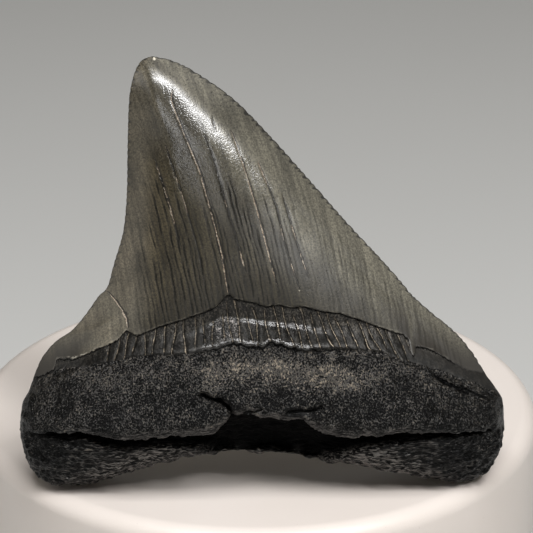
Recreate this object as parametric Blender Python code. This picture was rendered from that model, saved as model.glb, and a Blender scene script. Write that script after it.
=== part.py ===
import math

import bmesh
import bpy
import numpy as np

MM = 0.001

# ---- Stand: a low round plinth, turned from one profile -----------------------------------------
STAND_RADIUS = 30.8 * MM
STAND_HEIGHT = 15.0 * MM
STAND_TOP_ROUND = 1.8 * MM
STAND_FOOT_ROUND = 1.2 * MM
STAND_SIDES = 80
ROUND_STEPS = 4

# ---- Tooth: how it stands -----------------------------------------------------------------------
SEAT_GAP = 0.3 * MM
TOOTH_LEAN = math.radians(8.0)   # the blade leans back from upright
TOOTH_TURN = math.radians(1.5)   # its left end is turned a little forwards
TOOTH_FORWARD = 18.3 * MM        # its foot stands this far in front of the stand's middle

# ---- Tooth: outline of root and blade, seen from the front --------------------------------------
# One row for each height along the edges: height, left edge, right edge in millimetres, and the
# number of mesh levels from this row up to the next. The tip leans well to the left.
OUTLINE = (
    (0.0, -21.2, 22.6, 2),
    (0.8, -22.4, 24.0, 4),
    (2.0, -23.4, 25.0, 6),
    (3.6, -24.0, 25.6, 6),
    (5.8, -24.2, 25.8, 3),
    (8.2, -24.0, 25.6, 3),
    (9.6, -23.3, 24.8, 2),
    (10.7, -22.9, 24.0, 4),
    (13.0, -21.9, 22.6, 3),
    (14.8, -20.4, 21.2, 3),
    (15.9, -18.8, 20.1, 3),
    (17.5, -17.4, 18.2, 3),
    (19.6, -15.9, 16.0, 2),
    (20.4, -15.1, 15.4, 3),
    (23.0, -14.3, 13.2, 3),
    (27.0, -13.2, 9.6, 3),
    (31.0, -12.85, 6.2, 3),
    (36.0, -12.7, 1.9, 3),
    (40.0, -12.5, -1.9, 2),
    (42.2, -12.1, -4.8, 2),
    (43.5, -11.6, -6.9, 2),
    (44.2, -11.0, -8.6, 2),
    (44.5, -10.1, -10.1, 0),
)
COLUMNS = 28                     # mesh columns across each face
UNDERSIDE = (0.86, 0.6, 0.3, 0.0)   # depth left at each level that closes the root's underside

# Levels bow upwards between the edges: as the arch under the root, (place across, millimetres)
# from -1 at the left edge to 1 at the right, and evenly at the neck above it.
ARCH_LINE = (
    (-1.0, 0.0), (-0.92, 0.1), (-0.8, 0.8), (-0.6, 2.2), (-0.45, 3.2), (-0.3, 4.0), (-0.1, 4.3),
    (0.03, 4.2), (0.2, 3.6), (0.45, 2.5), (0.65, 1.6), (0.8, 0.8), (0.93, 0.1), (1.0, 0.0),
)
NECK_RISE = 5.9
NECK_HEIGHT = 10.7
BOW_END = 34.0                   # edge height above which levels are straight
FOOT_LEVEL = 5.0                 # edge height below which the foot is cut level with the stand

# ---- Tooth: thickness on its middle line, as (edge height, millimetres) -------------------------
FRONT_DEPTH = (
    (0.0, 3.0), (0.8, 4.6), (1.6, 5.6), (2.8, 6.5), (4.4, 7.2), (6.6, 7.6), (8.8, 7.2),
    (10.5, 6.3), (11.6, 5.6), (15.0, 5.3), (20.0, 4.8), (27.0, 3.8), (34.0, 2.7), (40.0, 1.7),
    (43.2, 1.0), (44.5, 0.0),
)
BACK_DEPTH = (
    (0.0, 2.6), (1.5, 3.2), (5.0, 3.5), (9.0, 3.0), (12.0, 2.4), (20.0, 1.9), (30.0, 1.4),
    (40.0, 0.9), (43.2, 0.6), (44.5, 0.0),
)
ROOT_FORWARD = 0.8               # the root's ends sit in front of the blade's cutting edges
ROOT_FULLNESS = (4.0, 0.5)       # blunt, rounded ends
CROWN_FULLNESS = (2.0, 1.15)     # a lens with thin edges
EDGE_HALF = 0.12                 # half the thickness of those edges
FULLNESS_CHANGE = (8.5, 13.5)    # edge heights between which the one becomes the other

# ---- Tooth: forms of its own --------------------------------------------------------------------
# The ledge across the root: (place across, edge height), and the hollow below it.
LEDGE_LINE = (
    (-1.0, 6.2), (-0.82, 5.8), (-0.66, 4.6), (-0.42, 3.0), (-0.3, 2.6), (-0.24, 2.6),
    (-0.18, 4.3), (0.0, 3.7), (0.1, 4.4), (0.16, 3.4), (0.28, 2.9), (0.42, 3.7), (0.51, 3.8),
    (0.74, 4.9), (0.88, 5.6), (1.0, 5.9),
)
LEDGE_STEP = 1.0
LEDGE_SHARPNESS = 0.35
LEDGE_DROOP = 0.5                # how far its brow hangs down
HOLLOW_DEPTH = 1.3
HOLLOW_HEIGHT = 0.7
HOLLOW_MIDDLE = (-0.03, 0.15)    # where across the hollow is widest, and how far that reaches
HOLLOW_GROWTH = 1.0              # how much deeper and taller it is there
CLEFT = (-5.0, 10.4, 1.5, 0.7, -0.5)   # a notch in the brow: x, s, half length, half width, slope
CLEFT_DEPTH = 0.9
# The bourlette, a sunken band under the enamel's lower edge: (place across, edge height).
ENAMEL_LINE = (
    (-1.0, 11.2), (-0.86, 11.5), (-0.78, 12.3), (-0.7, 12.9), (-0.45, 13.5), (-0.28, 14.3),
    (-0.17, 16.0), (-0.11, 14.9), (0.3, 14.2), (0.62, 13.3), (0.75, 12.0), (1.0, 11.2),
)
ENAMEL_STEP = 0.35
ENAMEL_SHARPNESS = 0.3
LUMPS = 0.22                     # height of the root's rolling unevenness

TOOTH_GREY = (0.115, 0.107, 0.09, 1.0)
STAND_CREAM = (0.78, 0.71, 0.66, 1.0)


def through(points, where):
    # A smooth curve through (place, value) pairs, which never overshoots them.
    place, value = np.array(points).T
    step = np.diff(place)
    slope = np.diff(value) / step
    tangent = np.zeros_like(value)
    turning = slope[:-1] * slope[1:]
    both = np.where(turning > 0, slope[:-1] + slope[1:], 1.0)
    tangent[1:-1] = np.where(turning > 0, 2.0 * turning / both, 0.0)
    tangent[0] = slope[0]
    tangent[-1] = slope[-1]
    index = np.clip(np.searchsorted(place, where) - 1, 0, len(step) - 1)
    t = np.clip((where - place[index]) / step[index], 0.0, 1.0)
    rise = value[index + 1] - value[index]
    start = tangent[index] * step[index]
    end = tangent[index + 1] * step[index]
    return value[index] + t * (start + t * (3 * rise - 2 * start - end + t * (start + end - 2 * rise)))


def ease(low, high, value):
    # 0 below low, 1 above high, and a smooth change between.
    t = np.clip((value - low) / (high - low), 0.0, 1.0)
    return t * t * (3.0 - 2.0 * t)


def sections(across, fullness):
    # How full a section is at each place across it, from 1 in the middle to 0 at its edges.
    root = np.clip(1.0 - np.abs(across) ** ROOT_FULLNESS[0], 0.0, 1.0) ** ROOT_FULLNESS[1]
    crown = np.clip(1.0 - np.abs(across) ** CROWN_FULLNESS[0], 0.0, 1.0) ** CROWN_FULLNESS[1]
    return root + (crown - root) * fullness


def bow(height, across):
    # How far a level rises between its edges.
    arch = through(ARCH_LINE, across) * (1.0 - ease(0.0, NECK_HEIGHT, height))
    neck = NECK_RISE * (1.0 - across ** 2) * ease(0.0, NECK_HEIGHT, height)
    return arch + neck * (1.0 - ease(NECK_HEIGHT, BOW_END, height))


def lumps(x, s):
    # Rolling unevenness from a few crossing waves, between -1 and 1.
    waves = ((0.9, 0.4, 0.3), (-0.5, 1.1, 1.9), (1.7, -0.8, 4.1), (0.6, 2.1, 2.6))
    total = sum(np.sin(a * x + b * s + c) for a, b, c in waves)
    return total / len(waves)


def tooth_faces(height, left, right, across, shrink):
    # Grids of points: x, how far forward the front and the back lie, and their heights.
    x = left + (right - left) * (across + 1.0) / 2.0
    s = height + bow(height, across)
    fullness = ease(*FULLNESS_CHANGE, height)
    full = sections(across, fullness)
    front = through(FRONT_DEPTH, height) * full
    back = through(BACK_DEPTH, height) * full

    above = height - through(LEDGE_LINE, across)
    inside = np.clip(full * 1.6 - 0.3, 0.0, 1.0)
    ledge = ease(-LEDGE_SHARPNESS, LEDGE_SHARPNESS, above)
    brow = np.exp(-((above - 0.9) / 1.5) ** 2) * ledge
    wide = 1.0 + HOLLOW_GROWTH * np.exp(-((across - HOLLOW_MIDDLE[0]) / HOLLOW_MIDDLE[1]) ** 2)
    hollow = np.exp(-((above + HOLLOW_HEIGHT * wide) / (HOLLOW_HEIGHT * wide)) ** 2) * (1.0 - ledge)
    front += inside * (LEDGE_STEP * brow - HOLLOW_DEPTH * wide * hollow)
    s = s - inside * LEDGE_DROOP * brow
    cleft_x, cleft_s, cleft_long, cleft_wide, cleft_slope = CLEFT
    off = (s - cleft_s) - cleft_slope * (x - cleft_x)
    front -= CLEFT_DEPTH * np.exp(-((x - cleft_x) / cleft_long) ** 2 - (off / cleft_wide) ** 2)

    over = height - through(ENAMEL_LINE, across)
    enamel = ease(-ENAMEL_SHARPNESS, ENAMEL_SHARPNESS, over)
    front += ENAMEL_STEP * (enamel - ease(0.0, 6.0, over)) * np.clip(full, 0.0, 1.0)

    root = 1.0 - fullness
    front += LUMPS * root * inside * lumps(x, s)
    back += LUMPS * root * inside * lumps(x + 9.0, s)

    middle = ROOT_FORWARD * root * (1.0 - full) + (front - back) / 2.0
    half = (EDGE_HALF + (front + back) / 2.0) * shrink
    level = math.tan(TOOTH_LEAN) * (1.0 - ease(0.0, FOOT_LEVEL, height))
    return x, middle + half, middle - half, s - level * (middle + half), s - level * (middle - half)


def tooth_rows():
    # Every level as (height, left edge, right edge, depth left), from under the root to the tip.
    rows = np.array(OUTLINE)
    index = np.arange(len(rows))
    where = [0.0] * len(UNDERSIDE)
    for row, count in enumerate(rows[:-1, 3].astype(int)):
        where.extend(row + step / count for step in range(count))
    where.append(index[-1])
    where = np.array(where)
    height, left, right = (through(np.column_stack((index, rows[:, c])), where) for c in range(3))
    shrink = np.ones(len(where))
    shrink[:len(UNDERSIDE)] = UNDERSIDE[::-1]
    return height, left, right, shrink


def make_tooth():
    levels = [value[:, None] for value in tooth_rows()]
    across = -np.cos(np.linspace(0.0, math.pi, COLUMNS + 1))[None, :]
    x, front, back, front_s, back_s = tooth_faces(*levels[:3], across, levels[3])
    around = np.stack((np.hstack((x, x[:, ::-1])), -np.hstack((front, back[:, ::-1])),
                       np.hstack((front_s, back_s[:, ::-1]))), axis=-1)
    shape = bmesh.new()
    rings = [[shape.verts.new(point) for point in ring] for ring in around]
    for low, high in zip(rings, rings[1:]):
        for corner in range(len(low)):
            after = (corner + 1) % len(low)
            shape.faces.new((low[corner], low[after], high[after], high[corner]))
    bmesh.ops.remove_doubles(shape, verts=shape.verts, dist=0.0001)
    bmesh.ops.scale(shape, vec=(MM, MM, MM), verts=shape.verts)
    bmesh.ops.triangulate(shape, faces=shape.faces)
    bmesh.ops.recalc_face_normals(shape, faces=shape.faces)
    tooth = finish_object("tooth", shape, TOOTH_GREY, 0.4)
    tooth.rotation_euler = (-TOOTH_LEAN, 0.0, TOOTH_TURN)
    bpy.context.view_layer.update()
    lowest = min((tooth.matrix_world @ vert.co).z for vert in tooth.data.vertices)
    tooth.location = (0.0, -TOOTH_FORWARD, STAND_HEIGHT + SEAT_GAP - lowest)


def quarter(centre_x, centre_z, radius, start):
    # A quarter round that runs clockwise from the start angle.
    angles = np.linspace(start, start - math.pi / 2.0, ROUND_STEPS + 1)
    return [(centre_x + radius * math.cos(a), 0.0, centre_z + radius * math.sin(a)) for a in angles]


def make_stand():
    profile = [(0.0, 0.0, STAND_HEIGHT)]
    profile += quarter(STAND_RADIUS - STAND_TOP_ROUND, STAND_HEIGHT - STAND_TOP_ROUND,
                       STAND_TOP_ROUND, math.pi / 2.0)
    profile += quarter(STAND_RADIUS - STAND_FOOT_ROUND, STAND_FOOT_ROUND, STAND_FOOT_ROUND, 0.0)
    profile += [(0.0, 0.0, 0.0)]
    shape = bmesh.new()
    verts = [shape.verts.new(point) for point in profile]
    edges = [shape.edges.new(pair) for pair in zip(verts, verts[1:])]
    bmesh.ops.spin(shape, geom=verts + edges, axis=(0.0, 0.0, 1.0), cent=(0.0, 0.0, 0.0),
                   angle=2.0 * math.pi, steps=STAND_SIDES, use_merge=True)
    bmesh.ops.remove_doubles(shape, verts=shape.verts, dist=0.001 * MM)
    bmesh.ops.recalc_face_normals(shape, faces=shape.faces)
    finish_object("stand", shape, STAND_CREAM, 0.45)


def finish_object(name, shape, colour, roughness):
    mesh = bpy.data.meshes.new(name)
    shape.to_mesh(mesh)
    shape.free()
    mesh.shade_smooth()
    mesh.set_sharp_from_angle(angle=math.radians(40.0))
    material = bpy.data.materials.new(name)
    material.use_nodes = True
    surface = material.node_tree.nodes["Principled BSDF"]
    surface.inputs["Base Color"].default_value = colour
    surface.inputs["Roughness"].default_value = roughness
    mesh.materials.append(material)
    made = bpy.data.objects.new(name, mesh)
    bpy.context.scene.collection.objects.link(made)
    return made


for old in list(bpy.data.objects):
    bpy.data.objects.remove(old)
make_stand()
make_tooth()
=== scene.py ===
import math

import bmesh
import bpy
import numpy as np
from mathutils import Matrix, Vector, noise


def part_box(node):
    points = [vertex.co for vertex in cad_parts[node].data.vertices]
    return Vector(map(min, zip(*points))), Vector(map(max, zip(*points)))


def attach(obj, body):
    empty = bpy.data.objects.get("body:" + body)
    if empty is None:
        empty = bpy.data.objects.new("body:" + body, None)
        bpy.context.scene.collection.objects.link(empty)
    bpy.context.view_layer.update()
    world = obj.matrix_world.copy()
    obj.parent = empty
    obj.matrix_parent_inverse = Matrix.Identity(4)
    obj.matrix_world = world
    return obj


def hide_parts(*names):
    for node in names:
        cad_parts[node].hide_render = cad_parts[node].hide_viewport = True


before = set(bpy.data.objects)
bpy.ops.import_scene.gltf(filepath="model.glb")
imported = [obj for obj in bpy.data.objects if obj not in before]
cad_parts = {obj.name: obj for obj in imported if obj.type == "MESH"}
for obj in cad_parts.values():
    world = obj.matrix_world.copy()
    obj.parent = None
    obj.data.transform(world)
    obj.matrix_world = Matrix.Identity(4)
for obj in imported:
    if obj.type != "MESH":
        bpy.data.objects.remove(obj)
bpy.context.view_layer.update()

mm = 0.001


# Shader kit: a wire is a socket that can stand in sums, and a paint is a material being built.

class Wire:
    def __init__(self, paint, socket):
        self.paint = paint
        self.socket = socket

    def maths(self, operation, *others):
        inputs = dict(enumerate((self,) + others))
        return self.paint.node("Math", {"operation": operation}, inputs)

    def __add__(self, other):
        return self.maths("ADD", other)

    __radd__ = __add__

    def __mul__(self, other):
        return self.maths("MULTIPLY", other)

    __rmul__ = __mul__

    def __sub__(self, other):
        return self.maths("SUBTRACT", other)

    def __rsub__(self, other):
        return self.paint.node("Math", {"operation": "SUBTRACT"}, {0: other, 1: self})

    def __neg__(self):
        return 0.0 - self

    def __truediv__(self, other):
        return self.maths("DIVIDE", other)

    def __abs__(self):
        return self.maths("ABSOLUTE")

    def atLeast(self, other):
        return self.maths("MAXIMUM", other)

    def fromNearest(self):   # distance to the nearest whole number
        return abs((self + 0.5).maths("FRACT") - 0.5)

    def rise(self, low, high, bottom=0.0, top=1.0):   # eases from bottom at low to top at high
        return self.paint.node("MapRange", {"interpolation_type": "SMOOTHSTEP"},
                               {0: self, 1: low, 2: high, 3: bottom, 4: top})

    def part(self, axis):
        return self.paint.node("SeparateXYZ", {}, {0: self}, axis)

    def times(self, scale):   # a vector stretched along its axes
        return self.paint.node("VectorMath", {"operation": "MULTIPLY"}, {0: self, 1: scale})

    def plus(self, shift):   # a vector moved by another
        return self.paint.node("VectorMath", {"operation": "ADD"}, {0: self, 1: shift})


class Paint:
    def __init__(self, name):
        self.material = bpy.data.materials.new(name)
        self.material.use_nodes = True
        self.tree = self.material.node_tree
        self.surface = self.tree.nodes["Principled BSDF"]

    def plug(self, socket, value):
        if isinstance(value, Wire):
            self.tree.links.new(value.socket, socket)
        else:
            socket.default_value = value

    def node(self, kind, settings, inputs, output=0):
        made = self.tree.nodes.new("ShaderNode" + kind)
        for name, value in settings.items():
            setattr(made, name, value)
        for key, value in inputs.items():
            self.plug(made.inputs[key], value)
        return Wire(self, made.outputs[output])

    def vector(self, x, y, z):
        return self.node("CombineXYZ", {}, {0: x, 1: y, 2: z})

    def cloud(self, where, scale, detail=3.0, rough=0.55, twist=0.0):
        return self.node("TexNoise", {}, {"Vector": where, "Scale": scale, "Detail": detail,
                                          "Roughness": rough, "Distortion": twist})

    def cells(self, where, scale, output=0):   # output 0 is a distance, and 1 a colour for each cell
        return self.node("TexVoronoi", {}, {"Vector": where, "Scale": scale}, output)

    def blend(self, share, first, second):   # colours, by a share of the second
        return self.node("Mix", {"data_type": "RGBA"}, {0: share, 6: first, 7: second}, 2)

    def tint(self, share, colour, by):   # a colour multiplied by another, or by a value
        return self.node("Mix", {"data_type": "RGBA", "blend_type": "MULTIPLY"},
                         {0: share, 6: colour, 7: by}, 2)

    def relief(self, height):   # height in millimetres
        return self.node("Bump", {}, {"Height": height, "Distance": mm})

    def finish(self, **sockets):
        for name, value in sockets.items():
            self.plug(self.surface.inputs[name.replace("_", " ")], value)
        return self.material


def through(points, where):   # a smooth curve through (place, value) pairs, never overshooting
    place, value = np.array(points).T
    step = np.diff(place)
    slope = np.diff(value) / step
    turning = slope[:-1] * slope[1:]
    both = np.where(turning > 0, slope[:-1] + slope[1:], 1.0)
    tangent = np.concatenate((slope[:1], np.where(turning > 0, 2 * turning / both, 0), slope[-1:]))
    index = np.clip(np.searchsorted(place, where) - 1, 0, len(step) - 1)
    t = np.clip((where - place[index]) / step[index], 0.0, 1.0)
    rise = value[index + 1] - value[index]
    start = tangent[index] * step[index]
    end = tangent[index + 1] * step[index]
    return value[index] + t * (start + t * (3 * rise - 2 * start - end
                                            + t * (start + end - 2 * rise)))


def straight(points, where):   # straight lines through (place, value) pairs
    return np.interp(where, *np.array(points).T)


def ease(low, high, value):   # 0 at low, 1 at high, level at both ends
    t = np.clip((value - low) / (high - low), 0.0, 1.0)
    return t * t * (3.0 - 2.0 * t)


def hill(value, width):   # 1 where the value is 0, falling away to both sides
    return np.exp(-(value / width) ** 2)


def softStep(value):   # rises evenly from 0 and levels off at 1
    def bend(v):
        return (v + 1.0 - np.sqrt((v - 1.0) ** 2 + 0.04)) / 2.0
    return (bend(value) - bend(0.0)) / (1.0 - bend(0.0))


def spread(even):   # columns closer together towards the edges
    return 0.55 * even + 0.45 * np.sin(even * math.pi / 2.0)


def noiseShift(seed):
    return Vector((seed * 7.3, seed * 3.1, seed * 5.7))


def grain(points, size, seed=0.0):   # smooth noise between about -1 and 1, one value a point
    shift = noiseShift(seed)
    return np.array([noise.noise(Vector(point) / size + shift) for point in points])


def grains(points, layers):   # several noises in one, each an amount, a size and a seed
    return sum(amount * grain(points, size, seed) for amount, size, seed in layers)


def holes(points, size, seed):   # distance to the nearest of scattered points, in sizes
    shift = noiseShift(seed)
    return np.array([noise.voronoi(Vector(point) / size + shift)[0][0] for point in points])


def finishPiece(work, mesh, paint):   # puts a worked mesh in the scene as one smooth, painted piece
    bmesh.ops.recalc_face_normals(work, faces=work.faces)
    work.to_mesh(mesh)
    work.free()
    mesh.shade_smooth()
    mesh.materials.append(paint)
    made = bpy.data.objects.new(mesh.name, mesh)
    bpy.context.scene.collection.objects.link(made)
    return made


def lineDistance(points, x, s):   # distance to a broken line
    nearest = np.full(np.broadcast(x, s).shape, 99.0)
    for (x0, s0), (x1, s1) in zip(points, points[1:]):
        along, up = x1 - x0, s1 - s0
        t = np.clip(((x - x0) * along + (s - s0) * up) / (along ** 2 + up ** 2), 0.0, 1.0)
        nearest = np.minimum(nearest, np.hypot(x - x0 - t * along, s - s0 - t * up))
    return nearest


# The tooth. Lengths are millimetres in its own upright plane: x across, s up, d forwards.
# Height means the height of a level where it meets the edges; across runs from -1 to 1.

tooth = {
    "lean": math.radians(8.0),
    "turn": math.radians(1.5),
    "forward": 18.3,
    "restGap": 0.02,
    "restLevels": (0.5, 5.0),   # heights where the foot's settling fades out
    "outline": (   # height, left edge, right edge
        (0.0, -21.2, 22.6), (0.8, -22.4, 24.0), (2.0, -23.4, 25.0), (3.6, -24.0, 25.6),
        (5.8, -24.2, 25.8), (8.2, -24.0, 25.6), (9.6, -23.3, 24.8), (10.7, -22.9, 24.0),
        (13.0, -21.9, 22.6), (14.8, -20.4, 21.2), (15.9, -18.8, 20.1), (17.5, -17.4, 18.2),
        (19.6, -15.9, 16.0), (20.4, -15.1, 15.4), (23.0, -14.3, 13.2), (27.0, -13.2, 9.6),
        (31.0, -12.85, 6.2), (36.0, -12.7, 1.9), (40.0, -12.5, -1.9), (42.2, -12.1, -4.8),
        (43.5, -11.6, -6.9), (44.2, -11.0, -8.6), (44.5, -10.1, -10.1)),
    "archLine": (   # across, rise of the arch under the root
        (-1.0, 0.0), (-0.92, 0.1), (-0.8, 0.8), (-0.6, 2.2), (-0.45, 3.2), (-0.3, 4.0),
        (-0.1, 4.3), (0.03, 4.2), (0.2, 3.6), (0.45, 2.5), (0.65, 1.6), (0.8, 0.8), (0.93, 0.1),
        (1.0, 0.0)),
    "neckRise": 5.9,   # how far the levels bow up in the middle of the neck
    "neckHeight": 10.7,
    "bowEnd": 34.0,
    "footLevel": 5.0,
    "frontDepth": (   # height, how far the front face stands out
        (0.0, 3.0), (0.8, 4.6), (1.6, 5.6), (2.8, 6.5), (4.4, 7.4), (6.2, 7.8), (7.4, 7.45),
        (8.6, 6.85), (9.6, 6.4), (11.0, 6.0), (12.5, 5.65), (15.0, 5.3), (20.0, 4.8),
        (27.0, 3.9), (34.0, 3.0), (36.0, 2.7), (38.0, 2.33), (40.0, 1.9), (41.0, 1.65),
        (42.0, 1.3), (42.8, 0.85), (43.6, 0.42), (44.5, 0.0)),
    "backDepth": (   # height, how far the back face stands out
        (0.0, 2.6), (1.5, 3.2), (5.0, 3.5), (9.0, 3.0), (12.0, 2.4), (20.0, 1.9), (30.0, 1.4),
        (40.0, 0.9), (43.2, 0.6), (44.5, 0.0)),
    "rootForward": 0.8,
    "rootFullness": (4.0, 0.5),   # powers that shape a level from edge to edge
    "crownFullness": (2.0, 1.15),
    "edgeHalf": 0.12,
    "fullnessChange": (8.5, 13.5),   # heights where the root gives way to the crown
    "ledgeLine": (   # across, height of the ledge over the hollow
        (-1.0, 6.2), (-0.88, 6.0), (-0.76, 5.8), (-0.67, 4.95), (-0.61, 4.3), (-0.5, 3.8),
        (-0.4, 3.45), (-0.28, 3.25), (-0.22, 3.2), (-0.17, 3.9), (-0.13, 4.75), (-0.07, 4.7),
        (0.0, 4.4), (0.09, 4.2), (0.15, 4.5), (0.19, 4.0), (0.26, 3.5), (0.34, 3.55),
        (0.41, 3.8), (0.55, 4.5), (0.75, 5.3), (0.88, 5.8), (1.0, 5.9)),
    "ledgeStep": 1.0,
    "brow": (0.9, 1.5),   # height of its crest over the ledge, and its reach
    "ledgeDroop": 0.5,
    "hollowReach": (   # across, how far the hollow goes down below the ledge
        (-1.0, 0.3), (-0.88, 0.6), (-0.8, 0.85), (-0.6, 0.95), (-0.45, 1.05), (-0.3, 1.4),
        (-0.22, 2.2), (-0.16, 3.8), (0.0, 4.2), (0.18, 3.6), (0.28, 2.2), (0.4, 1.2),
        (0.55, 0.95), (0.8, 0.6), (1.0, 0.3)),
    "hollowDepth": (   # across, how far in the hollow goes
        (-1.0, 0.0), (-0.9, 0.4), (-0.8, 1.3), (-0.4, 1.8), (-0.2, 2.6), (0.1, 2.9), (0.3, 2.4),
        (0.5, 1.8), (0.85, 1.2), (0.93, 0.5), (1.0, 0.0)),
    "enamelLine": (   # x, s: where the enamel ends above the neck band
        (-24.0, 10.9), (-22.6, 11.2), (-20.5, 12.5), (-20.3, 13.3), (-18.3, 13.75),
        (-17.4, 14.2), (-16.1, 14.9), (-14.8, 15.5), (-13.9, 16.0), (-13.1, 16.95),
        (-12.0, 16.55), (-11.2, 16.9), (-9.7, 17.6), (-7.3, 18.45), (-5.3, 19.2),
        (-3.9, 19.9), (-2.75, 21.2), (-2.1, 20.7), (-0.1, 20.3), (1.1, 19.9), (2.4, 20.1),
        (3.4, 19.75), (4.9, 19.8), (6.75, 19.2), (8.5, 18.9), (10.5, 18.1), (12.9, 17.0),
        (15.1, 16.1), (15.7, 15.5), (15.85, 14.4), (16.15, 14.2), (16.3, 14.95),
        (17.4, 14.65), (18.7, 13.95), (20.4, 12.85), (22.0, 11.95), (23.8, 11.2), (25.5, 10.8)),
    "neckLine": (   # x, s: where the neck band meets the root
        (-24.0, 10.6), (-22.7, 10.95), (-19.9, 12.75), (-17.4, 13.4), (-14.6, 14.1),
        (-12.6, 14.7), (-10.0, 15.1), (-7.3, 15.2), (-5.8, 15.55), (-3.3, 16.1),
        (-2.2, 16.5), (-0.9, 16.2), (0.6, 16.05), (1.7, 16.5), (3.4, 16.0), (5.0, 15.65),
        (7.5, 15.7), (9.5, 15.5), (12.9, 15.0), (14.6, 14.2), (16.2, 13.65), (17.4, 13.2),
        (19.2, 12.55), (20.6, 11.8), (22.7, 10.85), (23.9, 10.0), (25.5, 9.4)),
    "backLine": (   # x, s: where the enamel ends behind
        (-24.0, 10.6), (-17.0, 9.6), (-8.0, 9.9), (0.0, 10.3), (9.0, 9.8), (17.0, 9.4),
        (25.5, 10.4)),
    "enamelStep": 0.3,
    "bandMiddle": (1.0, 7.5),   # x and reach of the band's fullest stretch
    "bandRoll": 0.25,
    "lip": (0.2, 0.16),   # height and width of the roll along the band's foot
    "lipGroove": (0.22, 0.22, 0.2),   # depth of the groove below it, how far below, and width
    "scallop": (0.06, 0.2),   # depth of the scallops everywhere, and more in the middle
    "bandCrackPitch": 0.95,
    "bandCrackRow": (-21.5, 23.0, 0.26, 7),   # x of the first and the last, unevenness, seed
    "bandCrackLeft": (-16.3, -15.3),   # x between which the cracks fade in
    "bandCrackRight": (16.5, 14.5),
    "bandCrack": (0.1, 0.12),   # depth and width
    "bandSwell": 0.05,
    "longCrack": (0.04, 0.14),   # depth and width
    "flowFoot": 17.0,   # s where the enamel's lines start to lean
    "enamelLinePitch": 0.5,
    "enamelLineRow": (-24.0, 30.0, 0.3, 11),
    "serrationPitch": 0.83,
    "serrationDepth": 0.09,
    "serrationFrom": (11.0, 12.0),
    "notch": (0.17, 0.38),   # half width along the edge, and reach in from it
    "notchWay": (0.85, 0.5),   # how much goes inwards, and down on the right
    "lumps": (   # height, size and seed of each noise in the root's surface
        (0.22, 3.2, 0.0), (0.2, 1.1, 1.0), (0.1, 0.45, 2.0), (0.04, 0.28, 9.0)),
    "fibres": ((0.16, 0.7, 10.0), (0.12, 0.35, 11.0)),
    "ledgeRidges": ((0.16, 0.6, 5.0), (0.12, 0.3, 6.0)),
    "ledgeWobble": ((0.12, 1.0, 0.0), (0.1, 0.4, 1.0)),
    "enamelWaves": ((0.03, 2.0, 7.0),),
    "bandWaves": ((0.025, 0.7, 8.0),),
    "pitDepth": 0.14,
    "pitSpacing": 0.8,
    "flankWidth": (   # height, width of the steep flank along the right edge
        (20.0, 5.8), (28.0, 5.1), (31.5, 4.1), (34.5, 3.75), (38.0, 3.65), (41.0, 4.6),
        (44.5, 5.6)),
    "facetWidth": (   # the same for the gentler facet beside it, and for the left edge
        (20.0, 9.2), (28.0, 7.5), (31.5, 6.4), (34.5, 5.8), (38.0, 6.1), (44.5, 7.0)),
    "leftWidth": ((20.0, 5.0), (36.0, 4.2), (40.0, 2.4), (42.0, 2.1), (44.5, 1.5)),
    "ridgeLine": (   # x, s: the crest that runs along the neck band
        (-24.0, 11.0), (-14.0, 14.9), (-10.7, 15.95), (-6.6, 17.0), (-5.1, 17.75),
        (-4.1, 18.25), (-3.1, 18.6), (-1.0, 18.5), (0.7, 18.25), (3.0, 18.0), (5.2, 17.65),
        (7.5, 17.1), (10.6, 16.5), (14.7, 15.2), (25.5, 10.2)),
    "facetShare": 0.58,
    "facetFrom": (24.0, 36.0),   # heights between which the facets come in
    "backColumns": 80,
    "fineTop": 14.6,
    "levelSteps": (   # height, spacing of the rows from there
        (0.0, 0.08), (1.6, 0.15), (10.7, 0.13), (14.6, 0.165), (43.0, 0.08)),
    "undersideRows": 10,
}

rootCracks = {   # (x, s) along each crack in the root, its half width and its depth
    "cleft": (((-5.4, 11.2), (-4.7, 10.85), (-3.7, 10.75), (-2.9, 10.3), (-2.5, 9.7),
               (-2.4, 9.0)), 0.3, 1.0),
    "small": (((-1.1, 9.7), (-0.3, 9.8), (0.5, 10.0)), 0.14, 0.45),
    "smallRight": (((3.3, 9.6), (4.2, 9.75), (5.2, 9.7), (6.6, 9.9)), 0.26, 0.5),
    "slot": (((18.1, 12.3), (19.1, 11.65), (20.2, 11.1), (21.6, 10.2)), 0.17, 0.5),
    "slotAbove": (((20.9, 11.0), (21.6, 10.55), (23.5, 9.5)), 0.15, 0.45),
}

spots = {   # x, s and radius of chips, pale where the enamel is bruised and dark where it is holed
    "pale": ((-9.9, 44.3, 0.2), (4.5, 21.45, 0.16), (-14.0, 19.5, 0.1)),
    "dark": ((-4.25, 29.7, 0.2), (2.2, 16.7, 0.22), (-4.45, 30.6, 0.1)),
}

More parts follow.
